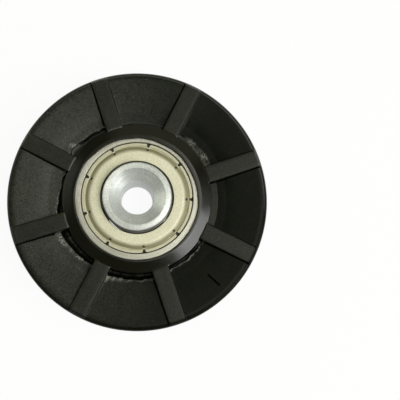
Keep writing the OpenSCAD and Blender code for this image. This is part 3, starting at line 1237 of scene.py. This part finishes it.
    def build(self) -> None:
        """Makes, dresses and seats the wheel."""
        columns = self.columns()
        pitch = 360.0 / self.rib_count
        half_gap = self.rib_foot + self.rib_margin
        rows: list[list[Vector]] = []
        marks: list[list[float]] = []

        def add_row(r: float, z: float, turn: float, side: Side | None = None) -> None:
            """Adds one row of points round the axis, with their marks.

            Args:
                r: distance from the axis.
                z: height from the middle plane, towards the face's own side where one is given.
                turn: how far the row's ribs are turned from the front ones, in degrees.
                side: the face that the row lies on, if any.
            """
            points, row_marks = [], []
            fan_r = max(r, self.fan_r)
            lean = math.degrees(math.asin(min(1.0, half_gap / fan_r)))
            for rib in range(self.rib_count):
                middle = self.front_rib_angle + turn + rib * pitch
                for beside, share in columns:
                    if math.isnan(beside):
                        degrees = middle + lean + (pitch - 2 * lean) * share
                    else:
                        degrees = middle + math.degrees(math.asin(beside / fan_r))
                    angle = math.radians(degrees)
                    out_r, out_z, mark = r, z, 0.0
                    if side is not None:
                        out_r, out_z, mark = self.face_point(r, z, angle, beside, side)
                        out_z *= side.value
                    points.append(around(out_r, angle, out_z))
                    row_marks.append(mark)
            rows.append(points)
            marks.append(row_marks)

        face, groove, bore = self.face_rows(), self.groove_rows(), self.bore_rows()
        for r, z in face:
            add_row(r, z, 0.0, Side.FRONT)
        for i, (r, z) in enumerate(groove):
            add_row(r, z, self.rear_rib_turn * (i + 1) / (len(groove) + 1))
        lip_start = next(i for i, (r, _) in enumerate(face) if r > self.ring_r)
        for r, z in reversed(face[lip_start:]):
            add_row(r, z, self.rear_rib_turn, Side.REAR)
        for i, (r, z) in enumerate(bore):
            add_row(r, z, self.rear_rib_turn * (1.0 - (i + 1) / (len(bore) + 1)))
        piece = woven("moulded_wheel", rows, 38.0, marks)
        seat(piece, self.finish().material(), "wheel", "wheel_nylon", "wheel_body")


# ---------------------------------------------------------------------------------------------
# The bearing
# ---------------------------------------------------------------------------------------------


@dataclass(frozen=True)
class BearingFinishes:
    """The materials of the bearing's pieces.

    Attributes:
        ring: finish of the outer ring.
        inner: finish of the inner ring.
        plate: finish of the shields.
        strip: finish of the cage and its rivets.
        ball: finish of the balls.
    """

    ring: bpy.types.Material
    inner: bpy.types.Material
    plate: bpy.types.Material
    strip: bpy.types.Material
    ball: bpy.types.Material


@dataclass
class Bearing:
    """The shielded ball bearing: rings, shields, and the solids between them.

    Attributes:
        ring_r: outside radius.
        front_z: height of the front face.
        rear_z: height of the rear face.
        ball_r: radius of a ball.
        pitch_r: radius of the circle of the balls' centres.
        bore_r: radius of the inner ring's bore.
        ball_clearance: gap between a ball and the races.
        race_depth: depth of each race below its shoulders.
        chamfer: bevel on the inner ring's edges.
        outer_chamfer: bevel on the outer ring's edges.
        shield_t: thickness of the shields' sheet.
        shield_gap: gap between a shield and the inner ring.
        shield_recess: how far a shield's flat lies below the rings' faces.
        shield_step: depth of the pressed step outside the flat.
        shield_step_w: width of that step.
        crimp_w: width of the rolled edge.
        crimp_h: height of the rolled edge over the step's foot.
        groove_w: width of the groove outside the rolled edge, which is painted dark as shade.
        seat_wall: wall of the outer ring outside a shield.
        slits: number of slits in the rolled edge.
        slit_w: width of a slit at its outer end.
        slit_depth: depth of a slit.
        slit_angle: direction of the first slit, in degrees.
        slit_reach: distance from a slit's middle line past which nothing of it shows.
        slit_columns: distances from a slit's middle line of the columns of points beside it.
        plain_columns: columns of points between two slits.
        burr_h: height of the burr at a slit's inner end.
        punch_depth: depth of the punch mark inside a slit.
        punch_in: how far inside the rolled edge the punch mark lies.
    """

    ring_r: float
    front_z: float
    rear_z: float
    ball_r: float
    pitch_r: float

    bore_r: float = 4.5
    ball_clearance: float = 0.03
    race_depth: float = 0.63
    chamfer: float = 0.35
    outer_chamfer: float = 0.15

    shield_t: float = 0.25
    shield_gap: float = 0.15
    shield_recess: float = 0.06
    shield_step: float = 0.38
    shield_step_w: float = 1.2
    crimp_w: float = 0.6
    crimp_h: float = 0.2
    groove_w: float = 0.14
    seat_wall: float = 1.18

    slits: int = 9
    slit_w: float = 0.68
    slit_depth: float = 0.2
    slit_angle: float = -2.5
    slit_reach: float = 0.75
    slit_columns: tuple[float, ...] = (0.0, 0.07, 0.13, 0.19, 0.25, 0.31, 0.38, 0.5, 0.7)
    plain_columns: int = 14
    burr_h: float = 0.09
    punch_depth: float = 0.16
    punch_in: float = 0.68

    @classmethod
    def from_frame(cls) -> Bearing:
        """Reads the bearing's driving sizes from the frame.

        Returns:
            The bearing.
        """
        low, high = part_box("bearing_outer_ring")
        ball_low, ball_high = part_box("ball_1")
        return cls(
            ring_r=high.x / MM,
            front_z=high.z / MM,
            rear_z=low.z / MM,
            ball_r=(ball_high.z - ball_low.z) / 2 / MM,
            pitch_r=(ball_high.x + ball_low.x) / 2 / MM,
        )

    @property
    def middle_z(self) -> float:
        """Height of the bearing's middle plane."""
        return (self.front_z + self.rear_z) / 2

    @property
    def half_w(self) -> float:
        """Half the bearing's width."""
        return (self.front_z - self.rear_z) / 2

    @property
    def race_r(self) -> float:
        """Radius of the races' section."""
        return self.ball_r + self.ball_clearance

    @property
    def race_half_angle(self) -> float:
        """Half the angle that a race spans, in degrees."""
        return math.degrees(math.acos(1.0 - self.race_depth / self.race_r))

    @property
    def inner_land_r(self) -> float:
        """Radius of the inner ring's shoulders."""
        return self.pitch_r - self.race_r + self.race_depth

    @property
    def seat_r(self) -> float:
        """Radius of the shield's seat in the outer ring."""
        return self.ring_r - self.seat_wall

    @property
    def groove_r(self) -> float:
        """Radius of the rolled edge's outer side, where the groove begins."""
        return self.seat_r - self.groove_w

    @property
    def crimp_r(self) -> float:
        """Radius of the rolled edge's inner side."""
        return self.seat_r - self.crimp_w

    @property
    def shield_bore_r(self) -> float:
        """Radius of the hole in a shield."""
        return self.inner_land_r + self.shield_gap

    def both_ways(self, half: Profile) -> Profile:
        """An outline of the front half with its mirror image, moved to the bearing's place."""
        whole = half + [(r, -z) for r, z in reversed(half)]
        return [(r, z + self.middle_z) for r, z in whole]

    def outer_ring(self) -> bpy.types.Object:
        """Makes the outer ring.

        Returns:
            The new object.
        """
        land = self.pitch_r + self.race_r - self.race_depth
        ledge = self.half_w - self.shield_recess - self.shield_step - self.shield_t
        half = arc((self.pitch_r, 0.0), self.race_r, 0, self.race_half_angle, 12) + rounded([
            (land, ledge - 0.4, 0.0),
            (land, ledge, 0.06),
            (self.seat_r, ledge, 0.0),
            (self.seat_r, self.half_w, 0.07),
            (self.ring_r - self.outer_chamfer, self.half_w, 0.06),
            (self.ring_r, self.half_w - self.outer_chamfer, 0.06),
            (self.ring_r, 0.4, 0.0),
        ])
        return turned("outer_ring", self.both_ways(half), segments=320)

    def inner_ring(self) -> bpy.types.Object:
        """Makes the inner ring.

        Returns:
            The new object.
        """
        land = self.inner_land_r
        half = arc((self.pitch_r, 0.0), self.race_r, 180, 180 - self.race_half_angle, 12) + rounded([
            (land, self.half_w - 1.2, 0.0),
            (land, self.half_w - self.chamfer, 0.1),
            (land - self.chamfer, self.half_w, 0.1),
            (self.bore_r + self.chamfer, self.half_w, 0.1),
            (self.bore_r, self.half_w - self.chamfer, 0.1),
            (self.bore_r, 0.4, 0.0),
        ])
        return turned("inner_ring", self.both_ways(half), segments=256)

    def shield_profile(self) -> Profile:
        """Outline of a shield that faces +Z from the bearing's middle plane.

        Returns:
            The closed outline.
        """
        flat = self.half_w - self.shield_recess
        foot = flat - self.shield_step
        crest = foot + self.crimp_h
        edge, bore = self.crimp_r, self.shield_bore_r
        top = rounded([
            (self.seat_r, foot - 0.05, 0.0),
            (self.groove_r, foot - 0.02, 0.05),
            (self.groove_r - 0.04, crest, 0.08),
            (edge - 0.10, crest, 0.08),
            (edge - 0.17, foot, 0.08),
            (edge - 0.32, foot - 0.01, 0.2),
            (edge - self.shield_step_w, flat - 0.05, 0.35),
            (edge - self.shield_step_w - 0.25, flat, 0.4),
            (bore + 0.12, flat, 0.1),
            (bore, flat - 0.12, 0.05),
        ])
        under = [(r, min(z, flat) - self.shield_t) for r, z in reversed(top)]
        return subdivided(top, 0.13) + subdivided(under, 0.6)

    def slit_half(self, r: float) -> float:
        """Half the width of a slit, which opens out towards the rolled edge's outer side."""
        return self.slit_w / 2 * (0.45 + 0.55 * between(r, self.crimp_r - 0.3, self.seat_r - 0.1))

    def slit_shade(self, r: float, away: float) -> float:
        """How dark a shield is painted as shade near a slit, at its bore and in the groove outside its
        rolled edge.

        Args:
            r: distance from the axis.
            away: distance from the slit's middle line.

        Returns:
            The amount of painted shade, 0 to 1, or below 0 on a burr, where the step's darker colour is left
            off.
        """
        edge, bore = self.crimp_r, self.shield_bore_r
        # Painted shade in the groove outside the rolled edge and at the bore, standing for the shade in the
        # gaps there.
        hollow_shade = between(r, self.groove_r - 0.05, self.groove_r + 0.02)
        hollow_shade = max(hollow_shade, 1.0 - between(r, bore + 0.02, bore + 0.12))
        if away > self.slit_reach:
            return hollow_shade
        half = self.slit_half(r)
        # Painted shade in the slit and its punch mark; a burr is left lighter.
        slit = (1.0 - between(away, half - 0.05, half + 0.05)) * between(r, edge - 0.3, edge - 0.1)
        punch = bell(away, 0.0, 0.32) * bell(r, edge - self.punch_in, 0.25)
        burr = bell(away, 0.0, 0.22) * bell(r, edge - 0.26, 0.14)
        return max(hollow_shade, slit, punch) - 0.9 * burr * (1.0 - slit)

    def slit_relief(self, r: float, away: float) -> float:
        """Change of a shield's height near a slit.

        Args:
            r: distance from the axis.
            away: distance from the slit's middle line.

        Returns:
            The change of height.
        """
        if away > self.slit_reach:
            return 0.0
        edge = self.crimp_r
        cut = self.slit_depth if away < self.slit_half(r) and r > edge - 0.2 else 0.0
        burr = self.burr_h * bell(away, 0.0, 0.3) * between(r, edge - 0.45, edge - 0.28)
        burr *= 1.0 - between(r, edge - 0.22, edge - 0.1)
        punch = self.punch_depth * bell(away, 0.0, 0.14) * bell(r, edge - self.punch_in, 0.2)
        return burr - cut - punch

    def shield(self, name: str, side: Side) -> bpy.types.Object:
        """Makes one shield with its slits, burrs and punch marks.

        Args:
            name: name of the object.
            side: which face it closes.

        Returns:
            The new object.
        """
        pitch = 360.0 / self.slits
        offsets = [-value for value in reversed(self.slit_columns[1:])] + list(self.slit_columns)
        lean = math.degrees(self.slit_columns[-1] / self.crimp_r)
        places = [(math.degrees(value / self.crimp_r), abs(value)) for value in offsets]
        for k in range(self.plain_columns):
            places.append((lean + (pitch - 2 * lean) * (k + 1) / (self.plain_columns + 1), math.inf))
        rows, hollow_shade = [], []
        for r, z in self.shield_profile():
            row, row_shade = [], []
            for slit in range(self.slits):
                middle = self.slit_angle + slit * pitch
                for turn, away in places:
                    out_z = z + self.slit_relief(r, away)
                    row.append(around(r, math.radians(middle + turn), self.middle_z + side.value * out_z))
                    row_shade.append(self.slit_shade(r, away))
            rows.append(row)
            hollow_shade.append(row_shade)
        return woven(name, rows, 32.0, hollow_shade)

    def build(self, finishes: BearingFinishes) -> None:
        """Makes, dresses and seats the bearing's pieces.

        Args:
            finishes: the pieces' materials.
        """
        seat(self.outer_ring(), finishes.ring, "wheel", "ring_steel", "bearing_outer_ring")
        seat(self.inner_ring(), finishes.inner, "axle", "inner_ring_steel", "bearing_inner_ring")
        for side, node in ((Side.FRONT, "shield_front"), (Side.REAR, "shield_rear")):
            seat(self.shield(f"{node}_plate", side), finishes.plate, "wheel", "shield_plate", node)
        for node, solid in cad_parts.items():
            if node.startswith("cage"):
                dress(solid, finishes.strip)
                LOG.info("%s: dressed", node)
            elif node.startswith("ball"):
                dress(solid, finishes.ball)
                solid.data.polygons.foreach_set("use_smooth", [True] * len(solid.data.polygons))
                LOG.info("%s: dressed", node)


# ---------------------------------------------------------------------------------------------
# The bush
# ---------------------------------------------------------------------------------------------


@dataclass
class Bush:
    """The turned bush with its flanged head and countersink.

    Attributes:
        front_z: height of the head's face.
        rear_z: height of the shank's end.
        head_r: radius of the head.
        seat_z: height of the bearing's front face, which the head sits on.
        shank_r: radius of the shank.
        hole_r: radius of the hole.
        sink_r: radius of the countersink at the head's face.
        head_bevel: bevel on the head's edge.
        tail_bevel: bevels on the shank's end.
    """

    front_z: float
    rear_z: float
    head_r: float
    seat_z: float
    shank_r: float = 4.5
    hole_r: float = 3.3
    sink_r: float = 5.4
    head_bevel: float = 0.25
    tail_bevel: float = 0.25

    @classmethod
    def from_frame(cls) -> Bush:
        """Reads the bush's driving sizes from the frame.

        Returns:
            The bush.
        """
        low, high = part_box("bush")
        _, ring_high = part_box("bearing_outer_ring")
        return cls(front_z=high.z / MM, rear_z=low.z / MM, head_r=high.x / MM, seat_z=ring_high.z / MM)

    def build(self, finish: bpy.types.Material) -> None:
        """Makes, dresses and seats the bush.

        Args:
            finish: its material.
        """
        sink_z = self.front_z - (self.sink_r - self.hole_r)
        outline = rounded([
            (self.hole_r, sink_z, 0.12),
            (self.sink_r, self.front_z, 0.1),
            (self.head_r - self.head_bevel, self.front_z, 0.12),
            (self.head_r, self.front_z - self.head_bevel, 0.12),
            (self.head_r, self.seat_z, 0.05),
            (self.shank_r, self.seat_z, 0.0),
            (self.shank_r, self.rear_z + self.tail_bevel, 0.08),
            (self.shank_r - self.tail_bevel, self.rear_z, 0.08),
            (self.hole_r + self.tail_bevel, self.rear_z, 0.08),
            (self.hole_r, self.rear_z + self.tail_bevel, 0.08),
        ], steps=5, closed=True)
        piece = turned("turned_bush", outline, segments=320, sharp=60.0)
        seat(piece, finish, "axle", "bush_steel", "bush")


# ---------------------------------------------------------------------------------------------
# The studio
# ---------------------------------------------------------------------------------------------


@dataclass
class Lamp:
    """One soft lamp.

    Attributes:
        name: its name.
        azimuth: direction it stands in, in degrees from +X towards +Y.
        elevation: height over the floor, in degrees.
        distance: distance from the wheel in millimetres.
        size: side of its square in millimetres.
        power: its power in watts.
        colour: its colour.
    """

    name: str
    azimuth: float
    elevation: float
    distance: float
    size: float
    power: float
    colour: Colour = (1.0, 1.0, 1.0)

    def build(self) -> None:
        """Hangs the lamp, turned to the wheel."""
        data = bpy.data.lights.new(self.name, "AREA")
        data.shape = "SQUARE"
        data.size = self.size * MM
        data.energy = self.power
        data.color = self.colour
        lamp = bpy.data.objects.new(self.name, data)
        elevation = math.radians(self.elevation)
        away = around(math.cos(elevation), math.radians(self.azimuth), math.sin(elevation))
        lamp.location = away * self.distance * MM
        lamp.rotation_euler = away.to_track_quat("Z", "Y").to_euler()
        bpy.context.scene.collection.objects.link(lamp)


@dataclass
class Studio:
    """The pale floor, the lamps, the world and the camera.

    Attributes:
        floor_z: height of the floor, which the wheel lies on.
        floor_half: half the floor's side in metres.
        floor_pale: colour of the floor's paper.
        floor_white: how far the camera and reflections see the floor as white.
        camera_distance: distance from the camera to the wheel's middle in millimetres.
        camera_tilt: lean of the view from the wheel's axis towards -Y, in degrees.
        focal: focal length as a share of the sensor's width.
        wheel_at: where the wheel's middle is seen, in shares of the view from its left and bottom.
        world_colour: colour of the light from all round.
        world_level: strength of that light.
        lamps: the soft lamps.
    """

    floor_z: float
    floor_half: float = 1.5
    floor_pale: Colour = (0.9, 0.9, 0.9)
    floor_white: float = 0.93
    camera_distance: float = 80.0
    camera_tilt: float = 7.03
    focal: float = 0.9926
    wheel_at: tuple[float, float] = (0.3425, 0.4988)
    world_colour: Colour = (1.0, 1.0, 0.85)
    world_level: float = 0.10
    lamps: tuple[Lamp, ...] = field(default_factory=lambda: (
        Lamp("key_lamp", -25.0, 44.0, 420.0, 240.0, 1.0),
        Lamp("fill_lamp", -12.0, 68.0, 420.0, 300.0, 0.80, (1.0, 1.0, 0.90)),
        Lamp("back_lamp", 74.0, 54.0, 400.0, 420.0, 0.18, (1.0, 1.0, 0.72)),
        Lamp("left_lamp", 163.0, 18.0, 420.0, 300.0, 0.46, (1.0, 1.0, 0.85)),
    ))

    def floor(self) -> None:
        """Lays the pale floor, which the camera and reflections see as white apart from shadows."""
        half, z = self.floor_half, self.floor_z * MM
        corners = [(-half, -half, z), (half, -half, z), (half, half, z), (-half, half, z)]
        mesh = bpy.data.meshes.new("floor")
        mesh.from_pydata(corners, [], [(0, 1, 2, 3)])
        plane = bpy.data.objects.new("floor", mesh)
        bpy.context.scene.collection.objects.link(plane)
        n = Nodes("floor_paper")
        kinds = ("Is Camera Ray", "Is Glossy Ray", "Is Transmission Ray")
        straight, mirrored, through = n.parts("ShaderNodeLightPath", kinds, {})
        white = straight.most(mirrored).most(through) * self.floor_white
        glow = n.made("ShaderNodeEmission", 0, {"Strength": 1.0})
        feed(n.made("ShaderNodeMixShader", 0, {0: white, 1: n.shader, 2: glow}), n.surface)
        dress(plane, n.finish({"Base Color": self.floor_pale, "Roughness": 0.9}))

    def world(self) -> None:
        """Fills the room with a plain even light."""
        world = bpy.data.worlds.new("studio_room")
        bpy.context.scene.world = world
        world.use_nodes = True
        background = world.node_tree.nodes["Background"]
        feed(self.world_colour, background.inputs["Color"])
        feed(self.world_level, background.inputs["Strength"])

    def camera(self) -> None:
        """Sets the camera over the wheel, a little towards -Y."""
        data = bpy.data.cameras.new("camera")
        data.sensor_width = 36.0
        data.lens = self.focal * data.sensor_width
        data.clip_start = 0.005
        data.shift_x = 0.5 - self.wheel_at[0]
        data.shift_y = self.wheel_at[1] - 0.5
        camera = bpy.data.objects.new("camera", data)
        tilt = math.radians(self.camera_tilt)
        away = Vector((0.0, -math.sin(tilt), math.cos(tilt)))
        camera.location = away * self.camera_distance * MM
        camera.rotation_euler = (tilt, 0.0, 0.0)
        bpy.context.scene.collection.objects.link(camera)
        bpy.context.scene.camera = camera

    def build(self) -> None:
        """Builds the whole studio."""
        self.floor()
        self.world()
        for lamp in self.lamps:
            lamp.build()
        self.camera()
        bpy.context.scene.view_settings.view_transform = "Standard"
        LOG.info("studio: %d lamps", len(self.lamps))


def main() -> None:
    """Builds the studio and every piece."""
    logging.basicConfig(level=logging.INFO, format="%(name)s: %(message)s")
    low, _ = cad_box
    Studio(floor_z=low.z / MM).build()
    MouldedWheel.from_frame().build()
    ring = TurnedSteel(
        "ring_steel", (0.58, 0.57, 0.505), (0.38, 0.37, 0.315),
        roughness=0.42, marks_per_mm=4.0, anisotropy=0.5, brush=60.0,
    )
    Bearing.from_frame().build(BearingFinishes(
        ring=ring.material(),
        # The inner ring is given a dark colour: painted shade standing for the shadow in the gap round the
        # bush's head, where it shows.
        inner=TurnedSteel("inner_ring_steel", (0.34, 0.33, 0.30), (0.22, 0.21, 0.19)).material(),
        plate=PlatedSheet().material(),
        strip=PolishedSteel("cage_strip", (0.42, 0.41, 0.38), 0.3).material(),
        ball=PolishedSteel("ball_steel").material(),
    ))
    bush = Bush.from_frame()
    steel = TurnedSteel(
        "bush_steel", (0.84, 0.87, 0.86), (0.50, 0.52, 0.50),
        roughness=0.42, marks_per_mm=7.0, mark_depth=0.008, metallic=0.6, painted_shade_r=bush.head_r - 0.07,
    )
    bush.build(steel.material())


if __name__ == "__main__":
    main()
